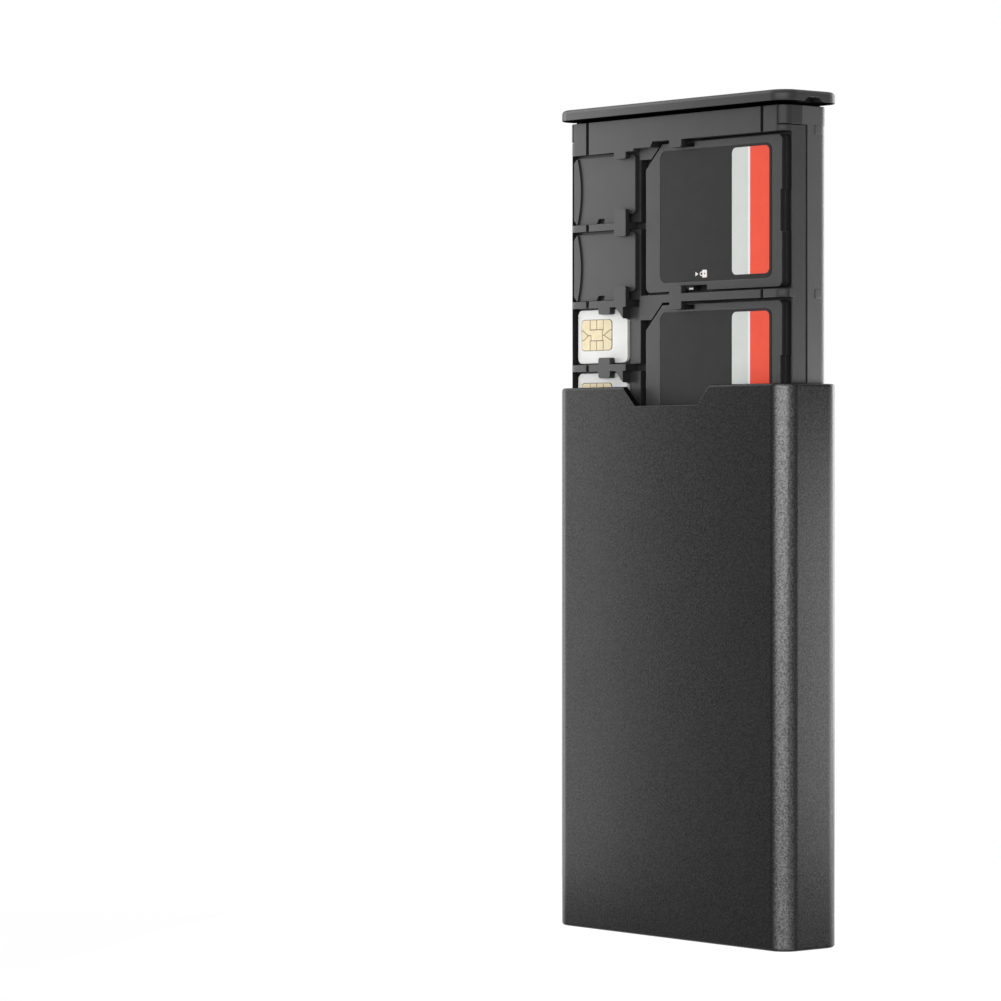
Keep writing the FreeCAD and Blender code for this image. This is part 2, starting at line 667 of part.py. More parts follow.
def sd_outline():
    """An SD card seen from its label side: cut corner, notches above and below, recess in the right end."""
    recess_low, recess_high = (f"(sd_height {sign} end_recess_height) / 2" for sign in "-+")
    return [
        ("0", "0", "sd_corner"),
        ("lock_start", "0"),
        ("lock_start", "lock_notch_depth"),
        ("lock_end", "lock_notch_depth"),
        ("lock_end", "0"),
        ("sd_length", "0", "sd_corner"),
        ("sd_length", recess_low),
        ("sd_length - end_recess_depth", recess_low),
        ("sd_length - end_recess_depth", recess_high),
        ("sd_length", recess_high),
        ("sd_length", "sd_height", "sd_corner"),
        ("detent_start + detent_length", "sd_height"),
        ("detent_start + detent_length", "sd_height - detent_depth"),
        ("detent_start", "sd_height - detent_depth"),
        ("detent_start", "sd_height"),
        ("sd_chamfer", "sd_height"),
        ("0", "sd_height - sd_chamfer"),
    ]


def make_sd_card(number):
    """An SD card: two shells round a board, a label in a recess and a lock slider in the lower edge."""
    drop = f"top_band + {number - 1} * sd_pitch + card_gap + sd_height"
    place = {"x": "sd_left", "y": "sd_sink + half_card - front_lift", "z": f"seat_height - ({drop})"}
    groove = box("lock_start", "lock_end", "lock_notch_depth - lock_gap", "lock_notch_depth + lock_groove")
    groove_depth = "lock_tongue / 2 + lock_gap"

    body = new_body(f"sd_card_{number}_front_shell", **place)
    feature("Pad", body, "XZ_Plane", "0", [sd_outline()], "half_card")
    label = box("label_left", "sd_length - label_right", "label_below", "sd_height - label_above",
                "label_corner")
    feature("Pocket", body, "XZ_Plane", "half_card", [label], "label_thickness")
    feature("Pocket", body, "XZ_Plane", "0", [groove], groove_depth, flip=True)

    body = new_body(f"sd_card_{number}_back_shell", **place)
    feature("Pad", body, "XZ_Plane", "0", [sd_outline()], "half_card", flip=True)
    feature("Pocket", body, "XZ_Plane", "0", [groove], groove_depth)
    room = box("board_left - board_gap", "sd_length - board_edge + board_gap", "board_low - board_gap",
               "sd_height - board_edge + board_gap")
    feature("Pocket", body, "XZ_Plane", "0", [room], "board_thickness")
    window = box("window_left", "window_left + window_length", "window_low", "window_low + window_height")
    cut = feature("Pocket", body, "XZ_Plane", "0", [window], "half_card + cut_overrun")
    row = body.newObject("PartDesign::LinearPattern", f"{body.Name}_windows")
    row.Originals = [cut]
    row.Direction = (cut.Profile[0], ["V_Axis"])
    bind(row, "Length", f"{WINDOW_COUNT - 1} * window_pitch")
    row.Occurrences = WINDOW_COUNT
    body.Tip = row

    body = new_body(f"sd_card_{number}_board", **place)
    board = box("board_left", "sd_length - board_edge", "board_low", "sd_height - board_edge")
    feature("Pad", body, "XZ_Plane", "0", [board], "board_thickness", flip=True)

    body = new_body(f"sd_card_{number}_label", **place)
    label = box("label_left + label_gap", "sd_length - label_right - label_gap", "label_below + label_gap",
                "sd_height - label_above - label_gap", "label_corner - label_gap")
    feature("Pad", body, "XZ_Plane", "half_card - label_thickness", [label], "label_thickness")

    body = new_body(f"sd_card_{number}_lock", **place)
    first, last = "lock_start + lock_gap", "lock_start + lock_gap + lock_length"
    head = box(first, last, "lock_gap", "lock_notch_depth - lock_gap")
    feature("Pad", body, "XZ_Plane", "lock_thickness / 2", [head], "lock_thickness", flip=True)
    tongue = box(first, last, "lock_gap", "lock_notch_depth + lock_groove - lock_gap")
    feature("Pad", body, "XZ_Plane", "lock_tongue / 2", [tongue], "lock_tongue", flip=True)


def make_micro_card(number):
    """A micro SD card with its narrow end, side notch and raised grip."""
    drop = f"micro_band + {number} * micro_pitch - small_bar - small_rest"
    back = "micro_sink + micro_thickness - front_lift"
    body = new_body(f"micro_sd_card_{number}", x="small_left", y=back, z=f"seat_height - ({drop})")
    shape = [
        ("0", "0", "micro_corner"),
        ("micro_notch_start", "0"),
        ("micro_notch_start + micro_notch_slope", "micro_notch_depth"),
        ("micro_notch_start + micro_notch_length", "micro_notch_depth"),
        ("micro_notch_start + micro_notch_length", "0"),
        ("micro_step_start", "0"),
        ("micro_step_start + micro_step_run", "micro_step_rise"),
        ("micro_length", "micro_step_rise", "micro_corner"),
        ("micro_length", "micro_height", "micro_corner"),
        ("0", "micro_height", "micro_corner"),
    ]
    feature("Pad", body, "XZ_Plane", "0", [shape], "micro_thickness")
    grip = [
        ("micro_corner", "micro_height - grip_edge"),
        ("grip_edge", "micro_height - micro_corner"),
        ("grip_edge", "micro_corner"),
        ("micro_corner", "grip_edge"),
    ]
    for step in range(GRIP_STEPS + 1):
        share = step / GRIP_STEPS
        bow = 4 * share * (1 - share)
        grip.append((f"grip_edge + grip_width + {bow} * grip_bulge",
                     f"grip_edge + {share} * (micro_height - 2 * grip_edge)"))
    feature("Pad", body, "XZ_Plane", "micro_thickness", [grip], "grip_rise")


def make_sim_card(number):
    """A nano SIM card and the contact plate in its front."""
    drop = f"sim_band + {number} * sim_pitch - small_bar - small_gap"
    back = "sim_sink + sim_thickness - front_lift"
    place = {"x": "sim_left", "y": back, "z": f"seat_height - ({drop})"}
    body = new_body(f"sim_card_{number}", **place)
    shape = [
        ("0", "0", "sim_corner"),
        ("sim_length", "0", "sim_corner"),
        ("sim_length", "sim_height - sim_chamfer"),
        ("sim_length - sim_chamfer", "sim_height"),
        ("0", "sim_height", "sim_corner"),
    ]
    feature("Pad", body, "XZ_Plane", "0", [shape], "sim_thickness")
    high = "sim_height - contact_above"
    low = f"{high} - contact_height"
    recess = box("contact_left", "contact_left + contact_length", low, high, "contact_corner")
    feature("Pocket", body, "XZ_Plane", "sim_thickness", [recess], "contact_recess")

    body = new_body(f"sim_card_{number}_contacts", **place)
    plate = box("contact_left + contact_gap", "contact_left + contact_length - contact_gap",
                f"{low} + contact_gap", f"{high} - contact_gap", "contact_corner - contact_gap")
    feature("Pad", body, "XZ_Plane", "sim_thickness - contact_recess", [plate],
            "contact_recess + contact_proud")


def make_pin():
    """The eject pin: a long stamped loop with a needle that flares into it."""
    back = "pin_sink + pin_thickness - front_lift"
    body = new_body("eject_pin", x="pin_centre", y=back, z="seat_height - ring_low")
    sketch = new_sketch(body, "XZ_Plane")
    stadium(sketch, "0", "0", "pin_ring_length", "pin_ring_width / 2")
    stadium(sketch, "0", "pin_wire", "pin_ring_length - pin_wire", "pin_ring_width / 2 - pin_wire")
    ring = body.newObject("PartDesign::Pad", "eject_pin_ring")
    ring.Profile = sketch
    bind(ring, "Length", "pin_thickness")
    needle = [
        ("0 - pin_flare_width / 2", "pin_ring_length - pin_wire / 2"),
        ("pin_flare_width / 2", "pin_ring_length - pin_wire / 2"),
        ("pin_needle_width / 2", "pin_ring_length + pin_flare_rise"),
        ("pin_needle_width / 2", "pin_ring_length + pin_needle_length"),
        ("0 - pin_needle_width / 2", "pin_ring_length + pin_needle_length"),
        ("0 - pin_needle_width / 2", "pin_ring_length + pin_flare_rise"),
    ]
    feature("Pad", body, "XZ_Plane", "0", [needle], "pin_thickness")


make_sleeve()
make_cap()
make_frame()
make_leaf()
for card in range(1, SD_COUNT + 1):
    make_sd_card(card)
for card in range(1, MICRO_COUNT + 1):
    make_micro_card(card)
for card in range(1, SIM_COUNT + 1):
    make_sim_card(card)
make_pin()
doc.recompute()

for thing in doc.Objects:
    if "Invalid" in thing.State or "Error" in thing.State:
        raise RuntimeError(f"{thing.Label} did not come out: {thing.State}")
os.makedirs("parts", exist_ok=True)
for body in pieces:
    if body.Shape.isNull() or not body.Shape.isValid() or len(body.Shape.Solids) != 1:
        raise RuntimeError(f"{body.Label} is not one sound solid")
    body.Shape.exportStep(f"parts/{body.Label}.step")
    print(body.Label, round(body.Shape.Volume, 2), "mm3")
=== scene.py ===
import json
import math

import bmesh
import bpy
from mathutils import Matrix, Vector

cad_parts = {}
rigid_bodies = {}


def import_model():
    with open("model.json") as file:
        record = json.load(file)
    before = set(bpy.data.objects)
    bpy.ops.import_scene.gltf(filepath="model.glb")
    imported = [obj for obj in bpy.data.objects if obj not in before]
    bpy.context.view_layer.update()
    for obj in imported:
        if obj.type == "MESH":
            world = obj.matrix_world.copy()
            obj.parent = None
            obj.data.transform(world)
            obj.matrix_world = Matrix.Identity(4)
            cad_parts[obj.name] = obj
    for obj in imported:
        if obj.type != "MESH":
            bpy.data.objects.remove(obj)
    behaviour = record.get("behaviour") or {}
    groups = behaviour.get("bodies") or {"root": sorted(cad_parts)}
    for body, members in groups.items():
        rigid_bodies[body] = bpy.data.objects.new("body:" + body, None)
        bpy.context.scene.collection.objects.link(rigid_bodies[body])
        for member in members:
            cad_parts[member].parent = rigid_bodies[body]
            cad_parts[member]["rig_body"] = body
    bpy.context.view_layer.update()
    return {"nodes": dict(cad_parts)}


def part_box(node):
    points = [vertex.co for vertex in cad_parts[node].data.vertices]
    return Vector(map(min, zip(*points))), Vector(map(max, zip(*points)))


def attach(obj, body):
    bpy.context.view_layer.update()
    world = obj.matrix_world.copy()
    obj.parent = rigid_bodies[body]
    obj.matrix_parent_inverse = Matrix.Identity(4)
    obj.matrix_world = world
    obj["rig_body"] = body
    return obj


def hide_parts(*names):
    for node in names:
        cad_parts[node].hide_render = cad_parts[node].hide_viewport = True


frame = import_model()

# Memory card case: looks for the sleeve, the tray, its cards and the eject pin.
# Everything is in metres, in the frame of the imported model. Lengths on the object are millimetres times MM.

MM = 0.001
SD_CARDS = (1, 2, 3)
MICRO_CARDS = (1, 2)
SIM_CARDS = (1, 2)
QUARTER_TURN, HALF_TURN, FULL_TURN = 90, 180, 360


# Node helpers

SHADER = "Principled BSDF"
SHEEN = "Specular IOR Level"
PLAIN_DETAIL, FINE_DETAIL = 2.0, 3.0
NOISE_LOW, NOISE_HIGH = 0.3, 0.7
MIX_SHARE, MIX_FIRST, MIX_SECOND, MIX_RESULT = 0, 6, 7, 2


def grey(value):
    """A colour without hue."""
    return (value, value, value)


def is_socket(value):
    """Whether a value is a node's output."""
    return isinstance(value, bpy.types.NodeSocket)


def new_material(name, sheen=0.5, metal=0.0):
    """A material whose shader has constant values on its own sockets."""
    material = bpy.data.materials.new(name)
    material.use_nodes = True
    shader = material.node_tree.nodes[SHADER]
    shader.inputs[SHEEN].default_value = sheen
    shader.inputs["Metallic"].default_value = metal
    return material


def add_node(owner, kind, inputs=None, **settings):
    """A new node of a material or world, with some settings and some input values or links."""
    tree = owner.node_tree
    made = tree.nodes.new("ShaderNode" + kind)
    for name, value in settings.items():
        setattr(made, name, value)
    for name, value in (inputs or {}).items():
        if is_socket(value):
            tree.links.new(value, made.inputs[name])
        else:
            made.inputs[name].default_value = value
    return made


def calculate(owner, operation, *values):
    """The result of a sum on values or outputs."""
    return add_node(owner, "Math", dict(enumerate(values)), operation=operation).outputs[0]


def link(material, output, socket):
    """Feed the shader's socket from a node's output."""
    tree = material.node_tree
    tree.links.new(output, tree.nodes[SHADER].inputs[socket])


def noise(material, size, detail=PLAIN_DETAIL):
    """Noise with features of about this size, in the piece's own coordinates."""
    place = add_node(material, "TexCoord").outputs["Object"]
    return add_node(material, "TexNoise", {"Vector": place, "Scale": 1 / size, "Detail": detail}).outputs[0]


def spread(owner, source, low, high, start=NOISE_LOW, end=NOISE_HIGH, kind="LINEAR"):
    """A value that goes from low to high while its source goes from start to end."""
    limits = {"Value": source, "From Min": start, "From Max": end, "To Min": low, "To Max": high}
    return add_node(owner, "MapRange", limits, interpolation_type=kind).outputs["Result"]


def mix(material, share, first, second):
    """A colour between two, by a share."""
    first, second = [value if is_socket(value) else (*value, 1) for value in (first, second)]
    inputs = {MIX_SHARE: share, MIX_FIRST: first, MIX_SECOND: second}
    return add_node(material, "Mix", inputs, data_type="RGBA").outputs[MIX_RESULT]


def grain_bump(material, heights, relief):
    """Relief of this depth from a noise, on the shader's normal."""
    made = add_node(material, "Bump", {"Height": heights, "Strength": 1, "Distance": relief})
    link(material, made.outputs[0], "Normal")


# Finishes

EDGE_MARK = "edge"
EDGE_WEAR_AND_HIGHLIGHT_PATCH = 1.6 * MM
LEAST_EDGE_WEAR_AND_HIGHLIGHT_SHARE = 0.25


def worn_and_highlit_edges(material, colour, edge_wear_and_highlight, edge_wear_and_highlight_share):
    """The colour with its rounded edges lighter, unevenly: partly wear and partly a painted highlight along
    the edges.
    """
    mark = add_node(material, "Attribute", attribute_name=EDGE_MARK).outputs["Fac"]
    uneven = spread(material, noise(material, EDGE_WEAR_AND_HIGHLIGHT_PATCH), LEAST_EDGE_WEAR_AND_HIGHLIGHT_SHARE * edge_wear_and_highlight_share, edge_wear_and_highlight_share)
    return mix(material, calculate(material, "MULTIPLY", mark, uneven), colour, edge_wear_and_highlight)


def finish_material(name, low, high, edge_wear_and_highlight, edge_wear_and_highlight_share, cloud, grain, relief, rough, **constants):
    """A satin surface: two close tones in clouds, fine grain in relief, uneven gloss and lighter edges,
    partly worn and partly a painted highlight.
    """
    material = new_material(name, **constants)
    clouds = noise(material, cloud, FINE_DETAIL)
    grains = noise(material, grain, FINE_DETAIL)
    tone = mix(material, spread(material, clouds, 0, 1), low, high)
    link(material, worn_and_highlit_edges(material, tone, edge_wear_and_highlight, edge_wear_and_highlight_share), "Base Color")
    link(material, spread(material, grains, *rough), "Roughness")
    grain_bump(material, grains, relief)
    return material


# Painted highlight: the sleeve's rounded corners get a paler colour, by how far the surface has turned.
CORNER_START, CORNER_FULL = 0.10, 0.50


def rounded_corners(material):
    """How far a surface has turned between two sides of the case, from none on a side to one at a corner."""
    normal = add_node(material, "TexCoord").outputs["Normal"]
    turned = add_node(material, "SeparateXYZ", {0: normal}).outputs
    size = calculate(material, "ABSOLUTE", calculate(material, "MULTIPLY", turned["X"], turned["Y"]))
    return spread(material, size, 0, 1, CORNER_START, CORNER_FULL, "SMOOTHSTEP")


# The flat sides are darker than the metal itself, a painted dark reflection; the paler corner tones are a
# painted highlight.
METAL_DARK, METAL_CLOUDED, METAL_SPECK = grey(0.010), grey(0.0125), grey(0.025)
METAL_CORNER_HIGHLIGHT, METAL_CORNER_HIGHLIGHT_SPECK = grey(0.045), grey(0.120)
# Lighter edges of the metal: partly wear and partly a painted highlight.
METAL_EDGE_WEAR_AND_HIGHLIGHT, METAL_EDGE_WEAR_AND_HIGHLIGHT_SHARE = grey(0.05), 0.4
METAL_CLOUD, METAL_GRAIN, METAL_RELIEF = 9 * MM, 0.28 * MM, 0.007 * MM
METAL_ROUGH = (0.28, 0.37)
SPECK_START, SPECK_FULL = 0.34, 0.70


def anodised_material(name):
    """Blasted and anodised metal: dark and speckled by its grains, with a painted highlight that makes it
    paler where it bends round a corner.
    """
    material = new_material(name, metal=1.0)
    clouds = noise(material, METAL_CLOUD, FINE_DETAIL)
    grains = noise(material, METAL_GRAIN)
    speck = spread(material, grains, 0, 1, SPECK_START, SPECK_FULL)
    dark = mix(material, spread(material, clouds, 0, 1), METAL_DARK, METAL_CLOUDED)
    flat = mix(material, speck, dark, METAL_SPECK)
    # Painted highlight on the rounded corners, speckled by the grains.
    corner_highlight = mix(material, speck, METAL_CORNER_HIGHLIGHT, METAL_CORNER_HIGHLIGHT_SPECK)
    tone = mix(material, rounded_corners(material), flat, corner_highlight)
    link(material, worn_and_highlit_edges(material, tone, METAL_EDGE_WEAR_AND_HIGHLIGHT, METAL_EDGE_WEAR_AND_HIGHLIGHT_SHARE), "Base Color")
    link(material, spread(material, grains, *METAL_ROUGH), "Roughness")
    grain_bump(material, grains, METAL_RELIEF)
    return material


STEP_BLUR = 0.05 * MM


def paint_shade_below(material, axis, edge, tone, sheen):
    """Paint shade on a surface: darker and duller on the lower side of one place along an axis of the case.
    """
    shader = material.node_tree.nodes[SHADER]
    colour = shader.inputs["Base Color"].links[0].from_socket
    full_sheen = shader.inputs[SHEEN].default_value
    place = add_node(material, "TexCoord").outputs["Object"]
    along = add_node(material, "SeparateXYZ", {0: place}).outputs[axis]
    beyond = spread(material, along, 0, 1, edge - STEP_BLUR, edge + STEP_BLUR)
    link(material, mix(material, beyond, tone, colour), "Base Color")
    link(material, spread(material, beyond, sheen, full_sheen, 0, 1), SHEEN)


# Materials by the name of their slot or print: two tones in clouds, the tone and share of the lighter edges
# (partly wear, partly a painted highlight), the sizes of clouds and grain, the depth of the relief, the range
# of roughness, and the sheen or metal.

PLASTIC = dict(edge_wear_and_highlight_share=0.5, cloud=5 * MM, grain=0.14 * MM, relief=0.0025 * MM)
PRINT = dict(edge_wear_and_highlight_share=0.4, cloud=4 * MM, grain=0.18 * MM, relief=0.001 * MM, rough=(0.42, 0.55), sheen=0.2)
FINISHES = {
    "tray_plastic": dict(
        PLASTIC, low=grey(0.018), high=grey(0.022), edge_wear_and_highlight=grey(0.055), rough=(0.42, 0.52), sheen=0.33),
    "cap_plastic": dict(
        PLASTIC, low=grey(0.016), high=grey(0.020), edge_wear_and_highlight=grey(0.055), rough=(0.33, 0.43), sheen=0.33),
    # Painted light: the frame's plastic is a paler copy of the tray's, and its front is painted darker below.
    "frame_plastic_painted_light": dict(
        PLASTIC, low=grey(0.058), high=grey(0.066), edge_wear_and_highlight=grey(0.09), rough=(0.34, 0.44), sheen=0.40),
    "card_shell": dict(
        low=grey(0.028), high=grey(0.033), edge_wear_and_highlight=grey(0.08), edge_wear_and_highlight_share=0.5,
        cloud=4 * MM, grain=0.12 * MM, relief=0.002 * MM, rough=(0.42, 0.54), sheen=0.28),
    "card_label": dict(
        low=grey(0.010), high=grey(0.013), edge_wear_and_highlight=grey(0.03), edge_wear_and_highlight_share=0.4,
        cloud=3 * MM, grain=0.2 * MM, relief=0.0012 * MM, rough=(0.44, 0.55), sheen=0.13),
    "card_lock": dict(
        low=grey(0.006), high=grey(0.009), edge_wear_and_highlight=grey(0.02), edge_wear_and_highlight_share=0.4,
        cloud=2 * MM, grain=0.12 * MM, relief=0.002 * MM, rough=(0.40, 0.55)),
    "card_board": dict(
        low=(0.012, 0.05, 0.028), high=(0.016, 0.06, 0.034), edge_wear_and_highlight=(0.1, 0.12, 0.06), edge_wear_and_highlight_share=0.3,
        cloud=2 * MM, grain=0.2 * MM, relief=0.002 * MM, rough=(0.35, 0.5)),
    "micro_shell": dict(
        low=grey(0.025), high=grey(0.030), edge_wear_and_highlight=grey(0.07), edge_wear_and_highlight_share=0.5,
        cloud=4 * MM, grain=0.1 * MM, relief=0.002 * MM, rough=(0.42, 0.54), sheen=0.28),
    "sim_plastic": dict(
        low=(0.63, 0.635, 0.62), high=(0.68, 0.68, 0.67), edge_wear_and_highlight=grey(0.86), edge_wear_and_highlight_share=0.6,
        cloud=3 * MM, grain=0.15 * MM, relief=0.0015 * MM, rough=(0.42, 0.55)),
    "contact_gold": dict(
        low=(0.39, 0.335, 0.22), high=(0.44, 0.38, 0.255), edge_wear_and_highlight=(0.54, 0.47, 0.33), edge_wear_and_highlight_share=0.5,
        cloud=1.2 * MM, grain=0.12 * MM, relief=0.002 * MM, rough=(0.46, 0.58), metal=0.6),
    "contact_base": dict(
        low=(0.075, 0.055, 0.022), high=(0.10, 0.075, 0.032), edge_wear_and_highlight=(0.12, 0.09, 0.05), edge_wear_and_highlight_share=0.2,
        cloud=1 * MM, grain=0.1 * MM, relief=0.001 * MM, rough=(0.5, 0.6)),
    "pin_steel": dict(
        low=grey(0.26), high=grey(0.30), edge_wear_and_highlight=grey(0.38), edge_wear_and_highlight_share=0.5,
        cloud=4 * MM, grain=0.18 * MM, relief=0.002 * MM, rough=(0.34, 0.46), metal=1.0),
    "print_white": dict(PRINT, low=(0.63, 0.65, 0.63), high=(0.68, 0.69, 0.68), edge_wear_and_highlight=grey(0.8)),
    "print_pale": dict(PRINT, low=(0.84, 0.80, 0.79), high=(0.88, 0.85, 0.84), edge_wear_and_highlight=grey(0.9)),
    "print_red": dict(PRINT, low=(0.85, 0.078, 0.038), high=(0.90, 0.092, 0.046), edge_wear_and_highlight=(0.95, 0.2, 0.15)),
}

# Painted light and shade on the frame: its plastic is paler, and it is painted darker and duller in front of
# the line where the tray's halves part.
# Painted shade: the cap's neck and underside are painted black.
DEPTH_AXIS, HEIGHT_AXIS = 1, 2
HALVES_PART = -1.0 * MM
CAP_SIDE = 1.74 * MM
PAINTED_SHADE_SIDES = {
    "frame_plastic_painted_light": dict(axis=DEPTH_AXIS, edge=HALVES_PART, tone=grey(0.022), sheen=0.25),
    "cap_plastic": dict(axis=HEIGHT_AXIS, edge=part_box("pull_cap")[1].z - CAP_SIDE, tone=grey(0.003),
                        sheen=0.0),
}


def make_materials():
    """Every surface of the object, by the name of its material slot or print."""
    made = {name: finish_material(name, **finish) for name, finish in FINISHES.items()}
    made["anodised_aluminium"] = anodised_material("anodised_aluminium")
    for name, side in PAINTED_SHADE_SIDES.items():
        paint_shade_below(made[name], **side)
    return made


materials = make_materials()


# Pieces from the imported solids

WELD = 0.0005 * MM
FLAT_ANGLE = math.radians(0.6)
SHARP_ANGLE = math.radians(32)
EDGE_STEPS = 2
ROUND_PROFILE = 0.5


def round_sharp_edges(shape, radius):
    """Round the outer edges of a mesh inside its own box and mark the new faces as edge."""
    mark = shape.faces.layers.float.new(EDGE_MARK)
    spans = [(min(v.co[i] for v in shape.verts), max(v.co[i] for v in shape.verts)) for i in range(3)]
    sharp = [edge for edge in shape.edges
             if len(edge.link_faces) == 2 and edge.is_convex and edge.calc_face_angle() > SHARP_ANGLE]
    made = bmesh.ops.bevel(shape, geom=sharp, offset=radius, offset_type="OFFSET", segments=EDGE_STEPS,
                           profile=ROUND_PROFILE, affect="EDGES", clamp_overlap=False)
    for face in made["faces"]:
        face[mark] = 1.0
    for vert in shape.verts:
        for i, (low, high) in enumerate(spans):
            vert.co[i] = min(max(vert.co[i], low), high)
    bmesh.ops.remove_doubles(shape, verts=shape.verts, dist=WELD)


def smooth_by_angle(shape):
    """Smooth the faces and keep the edges crisp where they turn sharply."""
    for face in shape.faces:
        face.smooth = True
    for edge in shape.edges:
        edge.smooth = len(edge.link_faces) == 2 and edge.calc_face_angle() < SHARP_ANGLE


def new_piece(name, shape, body, material):
    """A piece of the object from a mesh, riding on a body."""
    smooth_by_angle(shape)
    data = bpy.data.meshes.new(name)
    shape.to_mesh(data)
    shape.free()
    piece = bpy.data.objects.new(name, data)
    bpy.context.scene.collection.objects.link(piece)
    data.materials.append(materials[material])
    even = piece.modifiers.new("even_shading", "WEIGHTED_NORMAL")
    even.keep_sharp = True
    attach(piece, body)
    return piece


def node_shape(node):
    """A node's mesh with its points joined and its flat faces whole."""
    source = frame["nodes"][node].data
    shape = bmesh.new()
    points = [shape.verts.new(point.co) for point in source.vertices]
    for face in source.polygons:
        shape.faces.new([points[i] for i in face.vertices])
    bmesh.ops.remove_doubles(shape, verts=shape.verts, dist=WELD)
    bmesh.ops.dissolve_limit(shape, angle_limit=FLAT_ANGLE, verts=shape.verts, edges=shape.edges)
    bmesh.ops.recalc_face_normals(shape, faces=shape.faces)
    return shape


def dress(node, material, radius):
    """Stand a finished piece with rounded edges in a node's place."""
    body = frame["nodes"][node]["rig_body"]
    shape = node_shape(node)
    round_sharp_edges(shape, radius)
    piece = new_piece(node + "_finish", shape, body, material)
    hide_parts(node)


# Name or end of the name, slot, material and radius of the edges
CASE_PIECES = (
    ("sleeve", "anodised_aluminium", "anodised_aluminium", 0.12 * MM),
    ("pull_cap", "tray_plastic", "cap_plastic", 0.12 * MM),
    ("rear_frame", "tray_plastic", "frame_plastic_painted_light", 0.12 * MM),
    ("front_leaf", "tray_plastic", "tray_plastic", 0.08 * MM),
)
SD_PIECES = (
    ("_front_shell", "card_shell", "card_shell", 0.12 * MM),
    ("_back_shell", "card_shell", "card_shell", 0.12 * MM),
    ("_board", "card_board", "card_board", 0.04 * MM),
    ("_label", "card_label", "card_label", 0.02 * MM),
    ("_lock", "card_lock", "card_lock", 0.06 * MM),
)
MICRO_PIECES = (("", "micro_shell", "micro_shell", 0.06 * MM),)
SIM_PIECES = (
    ("", "sim_plastic", "sim_plastic", 0.06 * MM),
    ("_contacts", "contact_gold", "contact_base", 0.01 * MM),
)
PIN_PIECES = (("eject_pin", "pin_steel", "pin_steel", 0.1 * MM),)


def dress_nodes():
    """The pieces that keep the shape of their solids."""
    groups = [("", CASE_PIECES)]
    groups += [(f"sd_card_{n}", SD_PIECES) for n in SD_CARDS]
    groups += [(f"micro_sd_card_{n}", MICRO_PIECES) for n in MICRO_CARDS]
    groups += [(f"sim_card_{n}", SIM_PIECES) for n in SIM_CARDS]
    groups += [("", PIN_PIECES)]
    for owner, rows in groups:
        for part, slot, material, radius in rows:
            dress(owner + part, material, radius)


dress_nodes()


# Prints and contacts: thin flat pieces on the fronts of the cards

ARC_STEPS = 6
PRINT_RISE = 0.025 * MM


def arc(x, z, radius, start, turn):
    """Points of an arc from a start angle through a turn, in degrees."""
    angles = [math.radians(start + turn * step / ARC_STEPS) for step in range(ARC_STEPS + 1)]
    return [(x + radius * math.cos(a), z + radius * math.sin(a)) for a in angles]


def rounded_box(left, right, low, high, round_left=0.0, round_right=0.0):
    """An upright rectangle with one radius on its left and one on its right corners."""
    corners = ((right, low, -1, 1, round_right), (right, high, -1, -1, round_right),
               (left, high, 1, -1, round_left), (left, low, 1, 1, round_left))
    points = []
    for k, (x, z, inward, upward, radius) in enumerate(corners):
        start = (k - 1) * QUARTER_TURN
        centre = (x + inward * radius, z + upward * radius)
        points += arc(*centre, radius, start, QUARTER_TURN) if radius else [(x, z)]
    return points


def add_flat(shape, points, front, rise, gap=0.0):
    """Add a thin flat form that stands on a front plane, drawn narrower all round by a gap."""
    face = shape.faces.new([shape.verts.new((x, front, z)) for x, z in points])
    if gap:
        face.normal_update()
        rim = bmesh.ops.inset_individual(shape, faces=[face], thickness=gap, use_even_offset=True)["faces"]
        bmesh.ops.delete(shape, geom=rim, context="FACES")
    raised = bmesh.ops.extrude_face_region(shape, geom=[face])["geom"]
    for part in raised:
        if isinstance(part, bmesh.types.BMVert):
            part.co.y -= rise


def flat_piece(name, outlines, front, body, material, rise=PRINT_RISE, gap=0.0):
    """One named piece of flat forms that ride together."""
    shape = bmesh.new()
    shape.faces.layers.float.new(EDGE_MARK)
    for points in outlines:
        add_flat(shape, points, front, rise, gap)
    bmesh.ops.recalc_face_normals(shape, faces=shape.faces)
    new_piece(name, shape, body, material)


STRIPE_LEFT, STRIPE_BOUNDARY, STRIPE_RIGHT = 20.55 * MM, 24.75 * MM, 29.15 * MM
STRIPE_LINE = 0.5 * MM
STRIPE_BELOW, STRIPE_ABOVE = 2.2 * MM, 1.6 * MM
STRIPE_CORNER = 0.9 * MM


def add_stripe(n, left, low, high, front):
    """The card's colour stripe: a pale field, a thin light line and a red field."""
    bottom, top = low + STRIPE_BELOW, high - STRIPE_ABOVE
    boundary = left + STRIPE_BOUNDARY
    fields = {
        "stripe_white": (left + STRIPE_LEFT, boundary - STRIPE_LINE, STRIPE_CORNER, 0, "print_white"),
        "stripe_line": (boundary - STRIPE_LINE, boundary, 0, 0, "print_pale"),
        "stripe_red": (boundary, left + STRIPE_RIGHT, 0, STRIPE_CORNER, "print_red"),
    }
    for name, (start, end, round_left, round_right, material) in fields.items():
        field = rounded_box(start, end, bottom, top, round_left, round_right)
        flat_piece(f"sd_card_{n}_{name}", [field], front, "tray", material)


SIGN_RISE = 2.65 * MM
ARROW_BACK, ARROW_TIP, ARROW_HALF = 11.97 * MM, 12.64 * MM, 0.35 * MM
SHACKLE_LEFT, SHACKLE_WIDE, SHACKLE_WIRE = 12.99 * MM, 0.36 * MM, 0.17 * MM
LOCK_LEFT, LOCK_RIGHT, LOCK_HALF = 13.60 * MM, 14.68 * MM, 0.62 * MM
LOCK_CORNER = 0.2 * MM
KEYHOLE, KEYHOLE_RISE = 0.14 * MM, 0.035 * MM


